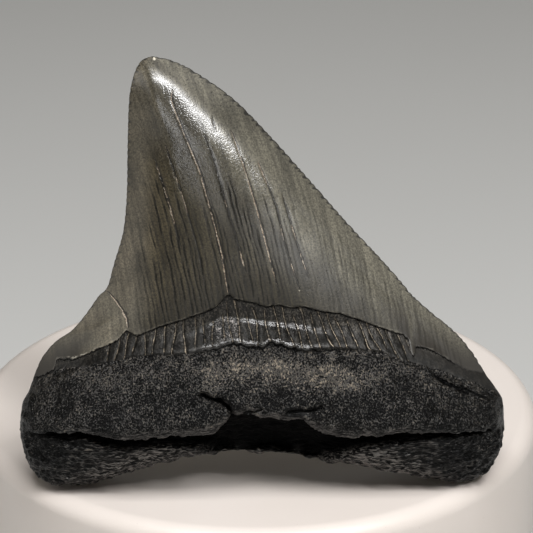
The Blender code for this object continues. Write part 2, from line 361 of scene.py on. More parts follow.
cracks = {   # (s, x) down each long crack in the enamel, and how wide it is
    "tan": (((41.5, -8.1), (40.4, -8.25), (37.4, -7.1), (33.5, -5.5), (30.2, -4.6), (28.7, -4.2),
             (25.1, -3.3), (21.2, -2.75)), 0.075),
    "tanRight": (((37.3, -2.3), (34.0, -1.1), (30.7, -0.1), (27.0, 0.9), (22.0, 2.2)), 0.07),
    "corner": (((20.5, -15.3), (20.1, -14.8), (19.6, -14.2), (18.9, -13.55), (18.1, -13.05),
                (17.15, -12.95)), 0.12),
    "middle": (((37.0, -5.0), (34.8, -4.1), (31.0, -3.1), (28.1, -2.2), (24.4, -1.2),
                (23.3, -0.9)), 0.08),
    "right": (((34.2, 0.35), (29.5, 2.3), (26.4, 2.9), (21.5, 4.5)), 0.08),
    "farRight": (((30.75, 2.8), (24.9, 4.65), (22.4, 5.45)), 0.07),
    "farLeft": (((34.6, -10.0), (29.8, -8.5), (25.5, -7.4)), 0.08),
    "left": (((36.0, -8.9), (30.7, -7.15), (25.7, -5.75), (23.2, -5.25)), 0.07),
    "short": (((38.8, -4.15), (37.0, -3.8)), 0.06),
}

markNames = (   # what the mesh keeps at each point for its paint, packed three to a vector
    "x", "d", "s", "flow", "rim", "side", "across", "height", "overEnamel", "overNeck", "overRidge",
    "above", "notch", "hollow", "lip", "lineCount", "linePower", "rootLine", "bandCount",
    "bandPower", "pale", "dark") + tuple(cracks)


def outlineAt(height):   # x of the left and right edge
    rows = np.array(tooth["outline"])
    index = np.arange(len(rows))
    fine = np.linspace(0.0, index[-1], 4000)
    heights, lefts, rights = (through(np.column_stack((index, rows[:, c])), fine)
                              for c in range(3))
    return np.interp(height, heights, lefts), np.interp(height, heights, rights)


def easedOutline(height):   # the same without its corners, for the surface between the edges
    fine = np.linspace(0.0, tooth["outline"][-1][0], 1500)
    window = 270
    weight = hill(np.linspace(-2.0, 2.0, 2 * window + 1), 1.0)
    eased = []
    for edge in outlineAt(fine):
        padded = np.pad(edge, window, mode="reflect", reflect_type="odd")
        smooth = np.convolve(padded, weight / weight.sum(), mode="valid")
        keep = ease(38.0, 42.5, fine) + 1.0 - ease(9.0, 13.0, fine)
        eased.append(smooth + (edge - smooth) * keep)
    return tuple(np.interp(height, fine, edge) for edge in eased)


def toothLevels():   # height of each row of points, and how far the underside has opened there
    starts = tooth["levelSteps"]
    ends = [start for start, step in starts[1:]] + [tooth["outline"][-1][0]]
    runs = [np.linspace(start, end, round((end - start) / step), endpoint=False)
            for (start, step), end in zip(starts, ends)]
    heights = np.concatenate(runs + [ends[-1:]])
    opened = np.sin(np.linspace(0.0, math.pi / 2, tooth["undersideRows"], endpoint=False))
    return (np.concatenate((np.zeros(len(opened)), heights)),
            np.concatenate((opened, np.ones(len(heights)))))


def levelPlaces(across, height):   # x and s on every level, and half the level's width
    left, right = outlineAt(height)
    easyLeft, easyRight = easedOutline(height)
    half = (easyRight - easyLeft) / 2.0
    x = easyLeft + half * (across + 1.0)
    x = x + (left - easyLeft) * ease(0.6, 1.0, -across)
    x = x + (right - easyRight) * ease(0.6, 1.0, across)
    arch = through(tooth["archLine"], across) * (1.0 - ease(0.0, tooth["neckHeight"], height))
    neck = tooth["neckRise"] * (1.0 - across ** 2) * ease(0.0, tooth["neckHeight"], height)
    s = height + arch + neck * (1.0 - ease(tooth["neckHeight"], tooth["bowEnd"], height))
    return x, s, half


def fullness(side, across, height, half):   # how much of its depth a level has at each point
    full = [np.clip(1.0 - np.abs(across) ** a, 0.0, 1.0) ** b
            for a, b in (tooth["rootFullness"], tooth["crownFullness"])]
    if side > 0:   # a steep flank along the right edge, then a gentler facet, then the flat face
        flank, wide, near = (through(tooth[key], height)
                             for key in ("flankWidth", "facetWidth", "leftWidth"))
        fromRight, fromLeft = (1.0 - across) * half, (1.0 + across) * half
        facet = softStep(fromRight / flank)
        facet = facet + (softStep(fromRight / wide) - facet) * tooth["facetShare"]
        facet = facet * softStep(fromLeft / near)
        facet = facet / np.maximum(facet.max(axis=1, keepdims=True), 0.01)
        share = 0.1 + 0.8 * ease(*tooth["facetFrom"], height)
        full[1] = full[1] + (facet - full[1]) * share
    return full[0] + (full[1] - full[0]) * ease(*tooth["fullnessChange"], height)


def rootLedge(across, height):   # height over the ledge, its brow, and the hollow below it
    ragged = [(place * 11.0, 0.0, 0.0) for place in across.ravel()]
    above = height - through(tooth["ledgeLine"], across) + grains(ragged, tooth["ledgeWobble"])
    ledge = ease(-0.12, 0.12, above)
    crest, width = tooth["brow"]
    brow = hill(above - crest, width) * ledge
    reach = through(tooth["hollowReach"], across)
    hollow = (1.0 - ledge) * (1.0 - ease(0.6 * reach, 1.5 * reach, -above))
    return above, brow, hollow * ease(0.0, 0.5, height)


def enamelEnds(side, across, x):   # where the enamel ends, and where the neck band does
    enamelLine = straight(tooth["enamelLine"], x)
    neckLine = straight(tooth["neckLine"], x)
    if side < 0:
        backLine = through(tooth["backLine"], x)
        enamelLine = backLine + (enamelLine - backLine) * ease(0.85, 1.0, np.abs(across))
        neckLine = enamelLine - 0.15
    return enamelLine, neckLine


def bandMiddle(x):
    middle, reach = tooth["bandMiddle"]
    return hill(x - middle, reach)


def scallops(x, s):   # how far the band's foot dips between its cracks
    shallow, more = tooth["scallop"]
    depth = (shallow + more * bandMiddle(x)) * ease(*tooth["bandCrackRight"], x)
    return depth * np.abs(np.sin(math.pi * bandCracks(x, s)[0]))


def neckRelief(x, s, overEnamel, overNeck, tall, full, inside):   # the enamel's step and the band
    lipHeight, lipWidth = tooth["lip"]
    grooveDepth, grooveDrop, grooveWidth = tooth["lipGroove"]
    covered = ease(-0.1, 0.1, overEnamel)
    band = np.clip(overNeck / np.maximum(tall, 0.3), 0.0, 1.0)
    fuller = 0.2 + 0.8 * bandMiddle(x)
    roll = ease(0.2, -0.2, s - through(tooth["ridgeLine"], x)) * ease(-0.15, 0.1, overNeck)
    roll = roll * (1.0 - 0.9 * ease(0.45, 0.1, band)) * (1.0 - covered)
    lip = hill(overNeck - lipWidth, lipWidth) * (1.0 - covered)
    raised = tooth["enamelStep"] * (covered - ease(0.0, 6.0, overEnamel))
    raised = raised + fuller * (tooth["bandRoll"] * roll + lipHeight * lip)
    sunk = grooveDepth * hill(overNeck + grooveDrop, grooveWidth)
    for line, width, deep in rootCracks.values():
        sunk = sunk + deep * hill(lineDistance(line, x, s), width)
    return raised * full - sunk * inside


def toothFace(side, across, height, shrink):   # places and marks on one face, row by row
    across, height, shrink = across[None, :], height[:, None], shrink[:, None]
    x, s, half = levelPlaces(across, height)
    full = fullness(side, across, height, half)
    inside = np.clip(full * 1.6 - 0.3, 0.0, 1.0)
    above, brow, hollow = rootLedge(across, height)
    front = through(tooth["frontDepth"], height) * full
    back = through(tooth["backDepth"], height) * full
    front = front + inside * tooth["ledgeStep"] * brow
    front = front - inside * through(tooth["hollowDepth"], across) * hollow
    s = s - inside * tooth["ledgeDroop"] * brow

    enamelLine, neckLine = enamelEnds(side, across, x)
    overEnamel = s - enamelLine
    overNeck = s - neckLine
    overRidge = s - through(tooth["ridgeLine"], x)
    if side > 0:
        overNeck = overNeck + scallops(x, s)
        front = front + neckRelief(x, s, overEnamel, overNeck, enamelLine - neckLine, full, inside)

    rootShare = 1.0 - ease(*tooth["fullnessChange"], height)
    middleDepth = tooth["rootForward"] * rootShare * (1.0 - full) + (front - back) / 2.0
    halfDepth = (tooth["edgeHalf"] + (front + back) / 2.0) * shrink
    d = middleDepth + side * halfDepth
    s = s - math.tan(tooth["lean"]) * (1.0 - ease(0.0, tooth["footLevel"], height)) * d
    marks = {"x": x, "s": s, "d": d, "across": across, "height": height, "side": side,
             "overEnamel": overEnamel, "overNeck": overNeck, "overRidge": overRidge,
             "above": above, "hollow": hollow * inside * (side > 0),
             "rim": (1.0 - np.abs(across)) * half}
    return {name: value + np.zeros(d.shape) for name, value in marks.items()}


def toothMesh():
    height, opened = toothLevels()
    fine = np.searchsorted(height, tooth["fineTop"])
    cells = tooth["backColumns"]
    blocks = ((1, 4 * cells, slice(0, fine)), (1, 2 * cells, slice(fine, None)),
              (-1, cells, slice(1, None)))
    parts = []
    rows = []
    total = 0
    for side, count, levels in blocks:
        across = spread(np.linspace(-1.0, 1.0, count + 1))
        part = toothFace(side, across, height[levels], opened[levels])
        size, shape = part["x"].size, part["x"].shape
        rows.append(np.arange(total, total + size).reshape(shape).tolist())
        parts.append(part)
        total += size
    marks = {key: np.concatenate([part[key].ravel() for part in parts]) for key in parts[0]}
    front = rows[0] + rows[1]
    back = [front[0]] + rows[2]
    faces = []
    for number in range(len(front) - 1):
        faces.extend(stitch(front[number], front[number + 1]))
        faces.extend(face[::-1] for face in stitch(back[number], back[number + 1]))
        for end, turn in ((0, 1), (-1, -1)):
            corners = (front[number][end], front[number + 1][end], back[number + 1][end],
                       back[number][end])
            faces.append(tuple(dict.fromkeys(corners))[::turn])
    return marks, faces


def stitch(lower, upper):   # faces between two rows, either of which may have more points
    few = min(len(lower), len(upper)) - 1
    down, up = (len(lower) - 1) // few, (len(upper) - 1) // few
    return [tuple(lower[c * down:(c + 1) * down + 1])
            + tuple(upper[c * up:(c + 1) * up + 1][::-1]) for c in range(few)]


def crackOffset(points, width, x, s):   # distance from a crack's line, in its half widths
    down, along = np.array(points)[::-1].T
    ends = np.clip((down[-1] - s) / 1.2, 0.0, 1.0) * np.clip((s - down[0]) / 1.2, 0.0, 1.0)
    return (x - np.interp(s, down, along)) / (width * np.maximum(np.sqrt(ends), 0.02))


def countLines(where, row, pitch):   # a running count of a row's lines, and which one is nearest
    first, last, jitter, seed = row
    chance = np.random.default_rng(seed)
    lines = np.arange(first, last, pitch)
    lines = lines + chance.uniform(-jitter, jitter, len(lines)) * pitch
    count = np.interp(where, lines, np.arange(len(lines)))
    return count, np.round(count).astype(int), len(lines), chance


def bandCracks(x, s):   # short cracks across the neck band: a running count and their strength
    up = s - straight(tooth["neckLine"], x) - 1.6
    lean = -0.03 * (x + 6.0) + 0.08 * np.sin(x * 1.3 + 0.4) + 0.08 * np.sin(x * 2.9)
    bend = 0.04 * np.sin(up * 2.1 + x * 3.0)
    count, nearest, lines, chance = countLines(x - lean * up - bend, tooth["bandCrackRow"],
                                               tooth["bandCrackPitch"])
    strength = chance.uniform(0.4, 1.0, lines)
    start = chance.uniform(-2.2, -1.0, lines)
    end = chance.uniform(0.8, 2.6, lines)
    shown = ease(-0.3, 0.1, up - start[nearest]) * ease(-0.3, 0.1, end[nearest] - up)
    shown = shown * ease(*tooth["bandCrackLeft"], x) * ease(*tooth["bandCrackRight"], x)
    return count, strength[nearest] * shown


def enamelLines(flow, s, rim):   # fine lines that run up the enamel
    bend = 0.06 * np.sin(s * 0.9 + flow * 1.3) + 0.03 * np.sin(s * 2.7 + flow * 2.9)
    count, nearest, lines, chance = countLines(flow + bend, tooth["enamelLineRow"],
                                               tooth["enamelLinePitch"])
    strength = chance.uniform(0.2, 1.0, lines)
    end = chance.uniform(22.0, 32.0, lines)
    shown = ease(-3.0, 0.5, end[nearest] - s) * ease(1.2, 3.6, rim)
    return count, strength[nearest] * shown


def serrations(marks):   # how deep the notch is at each point of the cutting edges
    width, reach = tooth["notch"]
    heights = np.linspace(tooth["neckHeight"], tooth["outline"][-1][0], 3000)
    cut = np.zeros(len(marks["x"]))
    for side, edge in zip((-1.0, 1.0), outlineAt(heights)):
        along = np.concatenate(([0.0], np.cumsum(np.hypot(np.diff(edge), np.diff(heights)))))
        run = np.interp(marks["height"], heights, along) / tooth["serrationPitch"]
        run = run + 0.25 * np.sin(run * 0.9) + 0.15 * np.sin(run * 2.3)
        near = np.abs(run - np.round(run)) * tooth["serrationPitch"]
        here = (marks["across"] * side > 0) * ease(*tooth["serrationFrom"], marks["height"])
        share = 1.0 if side > 0 else 0.5
        cut = cut + share * here * hill(near, width)
    return cut * hill(marks["rim"], reach)


def addLines(marks):   # the marks that follow from a point's place: cracks, fine lines and chips
    x, s = marks["x"], marks["s"]
    climb = s - tooth["flowFoot"]
    marks["flow"] = x + climb * (0.15 + 0.001 * x + 0.005 * climb)
    marks["lineCount"], marks["linePower"] = enamelLines(marks["flow"], s, marks["rim"])
    marks["bandCount"], marks["bandPower"] = bandCracks(x, s)
    marks["rootLine"] = np.min([lineDistance(line, x, s) / width
                                for line, width, deep in rootCracks.values()], axis=0)
    marks["notch"] = serrations(marks)
    for name, chips in spots.items():
        marks[name] = np.max([1.0 - np.hypot(x - across, s - up) / size
                              for across, up, size in chips], axis=0)
    for name, (line, width) in cracks.items():
        marks[name] = crackOffset(line, width, x, s)
    root = 1.0 - ease(-0.15, 0.15, marks["overNeck"])
    marks["lip"] = root * (1.0 - ease(-0.1, 0.3, marks["above"])) * (marks["side"] > 0)
    marks["hollow"] = marks["hollow"] * root


def surfacePush(marks, flat):   # how far each point moves out: lumps, fibres, pits and cracks
    onFront = marks["side"] > 0
    root = 1.0 - ease(-0.15, 0.15, marks["overNeck"])
    enamel = ease(-0.1, 0.1, marks["overEnamel"])
    band = (1.0 - root) * (1.0 - enamel)
    low = root * ease(-0.2, -1.2, marks["above"])
    points = flat.tolist()
    fibres, ridges, upright = ((flat * scale).tolist() for scale in
                               ((0.35, 1.0, 1.4), (0.4, 1.0, 1.3), (2.0, 1.0, 0.6)))
    push = root * grains(points, tooth["lumps"]) + low * grains(fibres, tooth["fibres"])
    pits = ease(0.45, 0.1, holes(points, tooth["pitSpacing"], 3.0))
    push -= root * tooth["pitDepth"] * pits * grain(points, 4.0, 4.0)
    push += marks["lip"] * grains(ridges, tooth["ledgeRidges"])
    push += enamel * grains(points, tooth["enamelWaves"]) + band * grains(upright, tooth["bandWaves"])
    deep, wide = tooth["longCrack"]
    for name, (line, width) in cracks.items():
        push -= enamel * onFront * deep * hill(marks[name] * width, wide)
    deep, wide = tooth["bandCrack"]
    count = marks["bandCount"]
    gap = np.abs(count - np.round(count)) * tooth["bandCrackPitch"]
    push -= band * onFront * deep * marks["bandPower"] * hill(gap, wide)
    swell = bandMiddle(marks["x"]) * np.abs(np.sin(math.pi * count)) ** 0.6
    push += band * onFront * tooth["bandSwell"] * swell
    return push * ease(0.0, 0.3, marks["rim"] + 0.1)


def standUp(flat, placed, height):   # leans and turns the tooth, and rests its lobes on the stand
    turned = Matrix.Rotation(tooth["turn"], 3, "Z") @ Matrix.Rotation(-tooth["lean"], 3, "X")
    turned = np.array(turned).T
    placed = placed @ turned
    placed[:, 1] -= tooth["forward"]
    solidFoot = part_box("tooth")[0][2] / mm
    placed[:, 2] += solidFoot - (flat @ turned)[:, 2].min()
    drop = placed[:, 2].min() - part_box("stand")[1][2] / mm - tooth["restGap"]
    placed[:, 2] -= drop * (1.0 - ease(*tooth["restLevels"], height))
    return placed


def storeMarks(mesh, marks):
    for first in range(0, len(markNames), 3):
        names = markNames[first:first + 3]
        values = np.zeros((len(mesh.vertices), 3))
        values[:, :len(names)] = np.column_stack([marks[name] for name in names])
        made = mesh.attributes.new(f"marks{first // 3}", "FLOAT_VECTOR", "POINT")
        made.data.foreach_set("vector", values.ravel())


def makeTooth():
    marks, faces = toothMesh()
    addLines(marks)
    mesh = bpy.data.meshes.new("toothSurface")
    flat = np.column_stack((marks["x"], -marks["d"], marks["s"]))
    mesh.from_pydata(flat.tolist(), [], faces)
    normals = np.empty(len(flat) * 3)
    mesh.vertex_normals.foreach_get("vector", normals)
    placed = flat + normals.reshape(-1, 3) * surfacePush(marks, flat)[:, None]
    cut = marks["notch"] * tooth["serrationDepth"]
    inwards, down = tooth["notchWay"]
    placed[:, 0] -= np.sign(marks["across"]) * cut * inwards
    placed[:, 2] -= (marks["across"] > 0) * cut * down
    placed = standUp(flat, placed, marks["height"])
    mesh.vertices.foreach_set("co", (placed * mm).ravel())
    mesh.update()
    storeMarks(mesh, marks)

    work = bmesh.new()
    work.from_mesh(mesh)
    bmesh.ops.remove_doubles(work, verts=work.verts, dist=1e-7)
    made = finishPiece(work, mesh, toothPaint())
    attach(made, "root")
    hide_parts("tooth")
    print("tooth:", len(mesh.vertices), "points,", len(mesh.polygons), "faces")


toothLook = {
    "enamelDark": (0.036, 0.032, 0.0235, 1.0),
    "enamelPale": (0.098, 0.090, 0.068, 1.0),
    "enamelBrown": (0.098, 0.083, 0.058, 1.0),
    "middleTint": (1.0, 0.94, 0.77, 1.0),
    "shoulderShade": (0.75, 0.75, 0.75, 1.0),
    "endShade": (0.022, 0.019, 0.015, 1.0),
    "crackDark": (0.012, 0.011, 0.009, 1.0),
    "crackTan": (0.27, 0.205, 0.145, 1.0),
    "crackPale": (0.50, 0.46, 0.38, 1.0),
    "bandDark": (0.009, 0.0085, 0.0075, 1.0),
    "bandGrain": (0.058, 0.052, 0.043, 1.0),
    "bandTan": (0.25, 0.205, 0.15, 1.0),
    "glintPale": (0.46, 0.42, 0.40, 1.0),
    "rootBlack": (0.004, 0.0037, 0.0033, 1.0),
    "rootGrey": (0.030, 0.0272, 0.0235, 1.0),
    "rootFibre": (0.067, 0.057, 0.045, 1.0),
    "rootSpeck": (0.27, 0.225, 0.168, 1.0),
    "greyUnderside": (0.095, 0.085, 0.075, 1.0),
    "paintedPitShade": (0.003, 0.003, 0.003, 1.0),
    "filledCracks": ("tan", "tanRight", "corner"),
    "fineGrain": 5.5,   # noise scales, in lumps a millimetre
    "patches": 1.1,
    "broadPatches": 0.28,
    "raggedness": 2.6,
    "dimples": 6.5,
    "pricks": 3.2,
    "bandMottle": 1.6,
    "rootGrain": 6.0,
    "rootFibres": 5.5,
    "rootChance": 4.0,
    "polishRough": 0.28,
    "polishIor": 1.75,
    "ior": 1.6,
}


class ToothPaint(Paint):   # knows the mesh's marks, and the noises and masks that the coats share
    def __init__(self):
        super().__init__("toothFinish")
        packs = [self.node("Attribute", {"attribute_name": f"marks{number}"}, {}, "Vector")
                 for number in range(math.ceil(len(markNames) / 3))]
        self.marks = {name: packs[number // 3].part(number % 3)
                      for number, name in enumerate(markNames)}
        self.place = packs[0]
        self.fine = self.cloud(self.place, toothLook["fineGrain"], 3.0, 0.6)
        self.soft = self.cloud(self.place, toothLook["broadPatches"], 4.0, 0.55)
        self.patchy = self.cloud(self.place, toothLook["patches"], 3.0, 0.6)
        self.ragged = self.cloud(self.place, toothLook["raggedness"], 4.0, 0.65) - 0.5
        x, side, across = self.read("x", "side", "across")
        self.onFront = side.rise(-0.1, 0.1)
        self.middle = abs(x).rise(4.0, 8.0, 1.0, 0.0)
        self.ends = across.rise(0.6, 0.68).atLeast((-across).rise(0.74, 0.84))

    def read(self, *names):
        return [self.marks[name] for name in names]


def between(share, first, second):   # values, by a share of the second
    return first + (second - first) * share


def layered(p, share, lower, upper):   # one coat over another
    coat = {key: between(share, lower[key], upper[key]) for key in ("height", "rough", "metal")}
    coat["colour"] = p.blend(share, lower["colour"], upper["colour"])
    return coat


def striaePaint(p):   # where the fine lines up the enamel are dark
    x, count, power = p.read("x", "lineCount", "linePower")
    wander = (p.cloud(p.place.times((1.0, 1.0, 0.4)), 2.0, 3.0, 0.6) - 0.5) * 0.16
    broken = p.cloud(p.place.times((2.0, 1.0, 0.35)), 1.2, 3.0, 0.6).rise(0.3, 0.55, 0.4, 1.0)
    striae = (count + wander).fromNearest().rise(0.13, 0.32, 1.0, 0.0)
    striae = striae * power.rise(0.0, 0.55) * broken
    striae = striae * p.onFront.rise(0.0, 1.0, 0.4, 1.0)
    return striae * x.rise(0.0, 6.0, 1.0, 0.35) * x.rise(-13.0, -9.5, 0.1, 1.0)


def longCracks(p):   # a dark gap down each crack, and the tan that fills it in places on one side, with a painted shadow beside the tan
    jag = (p.cloud(p.place.times((1.0, 1.0, 0.8)), 3.5, 4.0, 0.65) - 0.5) * 2.6
    width = p.cloud(p.place, 1.6, 2.0, 0.5).rise(0.3, 0.7, 0.6, 1.4)
    gapsAndShadow = 0.0
    filling = 0.0
    for name, offset in zip(cracks, p.read(*cracks)):
        offset = (offset + jag) / width
        if name in toothLook["filledCracks"]:
            # painted shadow: on a filled crack the dark line runs beside the tan
            gap = abs(offset - 0.9)
            there = p.patchy.rise(0.36, 0.46)
        else:
            gap = abs(offset)
            there = p.patchy.rise(0.42, 0.52) * p.soft.rise(0.5, 0.6)
        there = there * p.fine.rise(0.32, 0.5, 0.3, 1.0)
        gapsAndShadow = gap.rise(0.8, 1.8, 1.0, 0.0).atLeast(gapsAndShadow)
        filling = (abs(offset + 0.4).rise(0.4, 1.1, 1.0, 0.0) * there).atLeast(filling)
    return gapsAndShadow * p.onFront, filling * p.onFront


def enamelCoat(p):   # dark grey, paler at the right, browner at the left, and finely streaked
    look = toothLook
    x, up, rim, across, overEnamel = p.read("x", "s", "rim", "across", "overEnamel")
    flow, side, notch = p.read("flow", "side", "notch")
    left = -across
    corner = left.rise(0.45, 0.8) * up.rise(16.5, 23.0, 1.0, 0.0) * up.rise(12.5, 15.5)
    corner = corner + left.rise(-0.2, 0.5) * up.rise(36.0, 44.0) * 0.5
    pale = across.rise(-0.1, 0.5) * rim.rise(5.5, 10.5, 1.0, 0.0) + corner * 0.8
    pale = (pale.atLeast(0.8 - p.onFront * 0.8) + (p.soft - 0.5) * 0.5).rise(-0.1, 1.1)
    brown = left.rise(0.3, 0.9) * p.soft.rise(0.35, 0.65, 0.3, 0.8)
    dull = (up * -0.97 - x + 25.0).rise(-2.5, 2.5) * up.rise(33.0, 39.0, 1.0, 0.0)
    dull = dull * p.onFront * rim.rise(0.5, 3.0) * x.rise(-12.4, -9.4)
    # darker over the last few millimetres above the band: partly dirt, partly painted shade
    footDirtAndShade = overEnamel.rise(0.0, 5.0, 1.0, 0.0) * dull
    colour = p.blend(pale, look["enamelDark"], look["enamelPale"])
    colour = p.blend(brown, colour, look["enamelBrown"])
    # painted shade: the upper right shoulder made darker
    colour = p.tint(across.rise(-0.1, 0.3) * up.rise(35.0, 39.0), colour, look["shoulderShade"])
    colour = p.tint(dull, colour, look["middleTint"])
    colour = p.tint(1.0, colour, 1.0 - footDirtAndShade * 0.4 + corner * 0.25)

    streak = p.cloud(p.vector(flow * 1.6, up * 0.10, side * 5.0), 1.0, 4.0, 0.65)
    striae = striaePaint(p)
    pricks = p.cells(p.place, look["pricks"]).rise(0.12, 0.26, 1.0, 0.0) * p.soft.rise(0.3, 0.6)
    gapsAndShadow, filling = longCracks(p)
    edge = rim.rise(0.03, 0.2, 0.6, 0.0) * across.rise(-0.2, 0.2, 0.5, 1.0)
    colour = p.tint(0.9, colour, streak.rise(0.3, 0.7, 0.6, 1.32))
    colour = p.blend(striae * 0.9, colour, look["crackDark"])
    colour = p.blend(pricks * 0.25, colour, look["crackDark"])
    colour = p.tint(1.0, colour, p.fine.rise(0.25, 0.75, 0.5, 1.5))
    colour = p.blend(gapsAndShadow * 0.85, colour, look["crackDark"])
    tan = p.blend(p.fine.rise(0.45, 0.75), look["crackTan"], look["crackPale"])
    colour = p.blend(filling * 0.8, colour, tan)
    colour = p.blend(edge.atLeast(notch.rise(0.1, 0.45) * 0.9), colour, look["crackDark"])
    # painted shade where the enamel curves away at both ends
    colour = p.blend(p.ends * overEnamel.rise(-0.1, 4.0, 1.0, 0.0), colour, look["endShade"])

    dimple = p.cloud(p.place, look["dimples"], 1.0, 0.4)
    hammered = rim.rise(2.5, 4.5) * up.rise(26.0, 34.0)
    height = (p.fine - 0.5) * 0.012 + (dimple - 0.5) * (hammered * 0.03 + 0.006) \
        - pricks * 0.015 - striae * 0.008 - gapsAndShadow * 0.05 + (streak - 0.5) * 0.02
    fromRight = rim * (1.0 - across) / (1.0 - abs(across)).atLeast(0.01)
    rough = up.rise(24.0, 35.0, 0.5, 0.2) + fromRight.rise(2.4, 4.4, 0.38, 0.0) \
        + rim.rise(1.5, 4.5, 0.2, 0.0) * up.rise(38.0, 41.0, 1.0, 0.0)
    flank = fromRight.rise(2.8, 4.4, 1.0, 0.0) * up.rise(25.0, 33.0) * up.rise(35.0, 39.0, 0.45, 0.6)
    polish = fromRight.rise(3.2, 4.6) * fromRight.rise(7.2, 9.6, 1.0, 0.0) * up.rise(27.0, 32.0)
    polish = polish * dimple.rise(0.35, 0.6, 0.4, 1.0) * up.rise(36.0, 42.0, 0.78, 0.55)
    return {"colour": colour, "height": height, "rough": rough,
            "metal": (dull * 0.42).atLeast(flank).atLeast(striae * 0.7),
            "polish": polish * p.onFront}


def bandCoat(p, crumbs):   # dark and glossy, crossed by short tan cracks, plain at both ends; painted glints on one patch and painted shade at the ends
    look = toothLook
    x, overNeck, overRidge = p.read("x", "overNeck", "overRidge")
    count, power = p.read("bandCount", "bandPower")
    upper = overRidge.rise(0.15, 0.4)
    mottle = p.cloud(p.place.times((1.3, 1.0, 0.7)), look["bandMottle"], 4.0, 0.6)
    offset = (count + p.ragged * 0.22).fromNearest()
    groove = offset.rise(0.04, 0.17, 1.0, 0.0) * power.rise(0.0, 0.5)
    filling = (offset + (p.patchy - 0.5) * 0.12).rise(0.02, 0.07, 1.0, 0.0)
    filling = filling * p.fine.rise(0.36, 0.54) * p.patchy.rise(0.36, 0.5) * power.rise(0.1, 0.5)
    # painted highlight: pale glints mottling a patch below the ridge
    glintPatch = abs(x + 2.9).rise(0.4, 1.7, 1.0, 0.0) * overNeck.rise(0.4, 1.0) * (1.0 - upper)
    paintedGlints = glintPatch * p.fine.rise(0.5, 0.64) * mottle.rise(0.42, 0.56, 0.25, 1.0)
    colour = p.blend((mottle + p.fine - 0.5).rise(0.45, 0.7), look["bandDark"], look["rootGrey"])
    colour = p.blend(paintedGlints * 0.65, colour, look["glintPale"])
    # painted shade at both ends of the band
    colour = p.blend(p.ends * overNeck.rise(0.1, 1.6) * 0.95, colour, look["endShade"])
    colour = p.blend(groove * 0.7, colour, look["crackDark"])
    colour = p.blend(filling * 0.8, colour, look["bandTan"])
    colour = p.blend(upper * crumbs * 0.95, colour, look["bandGrain"])
    gloss = p.middle * (1.0 - upper)
    grit = (p.fine - 0.5) * (glintPatch * 0.15 + 0.04)
    return {"colour": colour, "height": (mottle - 0.5) * 0.08 - groove * 0.08 + grit,
            "rough": 0.45 - gloss * 0.23 + p.ends * 0.2,
            "metal": 0.75 - gloss * mottle.rise(0.38, 0.56, 0.45, 1.0) * 0.75 - p.ends * 0.3}


def rootCoat(p):   # black grains with worn tan tops, drawn out into fibres lower down; painted sheen below the band and painted shade in its hollows
    look = toothLook
    x, level, overNeck, above = p.read("x", "height", "overNeck", "above")
    hollow, lip, rootLine = p.read("hollow", "lip", "rootLine")
    grainAt = p.place.times((1.1, 1.0, 0.85))
    chance = p.cells(grainAt, look["rootChance"], 1).part(0)   # a random value a cell
    low = (-above).rise(0.0, 0.8)
    brow = above.rise(-0.1, 0.2) * above.rise(0.5, 1.4, 1.0, 0.0)
    shelfShade = above.rise(0.6, 1.4) * above.rise(2.2, 4.2, 1.0, 0.0)
    # painted sheen: a brighter stretch of root just below the band
    paintedSheen = overNeck.rise(-4.6, -3.0) * overNeck.rise(-1.9, -1.0, 1.0, 0.0)
    paintedSheen = paintedSheen * x.rise(-8.0, -3.0) * x.rise(8.0, 14.0, 1.0, 0.0)
    outer = abs(x).rise(15.0, 21.0) * low
    crumb = p.cloud(grainAt, look["rootGrain"], 2.0, 0.6)
    fibre = p.cloud(p.place.times((0.25, 1.0, 1.3)), look["rootFibres"], 1.5, 0.55, 0.3)
    crest = between(low.atLeast(brow * 0.7), crumb, fibre)
    patch = p.cloud(p.place.plus((3.0, 5.0, 1.0)), 0.45, 3.0, 0.6) - 0.5
    # painted light in the tone: sheen below the band, and painted shade on the lobes, the shelf over
    # the ledge, the lip and the brow
    shade = crest + patch * 0.3 + (p.patchy - 0.5) * 0.26 + paintedSheen * 0.1 - low * 0.045 \
        - shelfShade * 0.05 - outer * 0.04 - lip * 0.02 - brow * 0.025 - 0.002
    # more pale specks in the painted sheen
    specks = shade.rise(0.58, 0.68) * chance.rise(0.45, 0.75) * (paintedSheen * 0.55 + 0.4 - low * 0.1)
    # paler grey strands on the lobes' undersides
    greyUnderside = (level + abs(x) * 0.35).rise(6.5, 8.5, 1.0, 0.0) * low
    greyUnderside = greyUnderside * abs(x).rise(6.0, 10.0) * shade.rise(0.42, 0.5)
    # painted shade: black in the hollow under the ledge, under the band's lip and between the grains,
    # with the root's cracks
    cavityShade = hollow.rise(0.1, 0.6).atLeast(overNeck.rise(-0.5, -0.12) * p.middle * 0.85)
    cavityShade = cavityShade.atLeast((rootLine + p.ragged * 0.8).rise(0.5, 1.1, 1.0, 0.0))
    dark = cavityShade.atLeast(shade.rise(0.44, 0.57, 0.92, 0.22) * (1.0 - greyUnderside * 0.7))
    colour = p.blend(shade.rise(0.42, 0.6), look["rootBlack"], look["rootGrey"])
    colour = p.blend(shade.rise(0.54, 0.66) * (low * 0.2 + 0.8), colour, look["rootFibre"])
    colour = p.blend(specks, colour, look["rootSpeck"])
    colour = p.blend(greyUnderside, colour, look["greyUnderside"])
    return {"colour": p.blend(dark, colour, look["paintedPitShade"]), "height": (crest - 0.5) * 0.24,
            "rough": 0.28 + chance * 0.14 + hollow * 0.4, "metal": dark * 0.95,
            "crumbs": shade.rise(0.52, 0.6)}


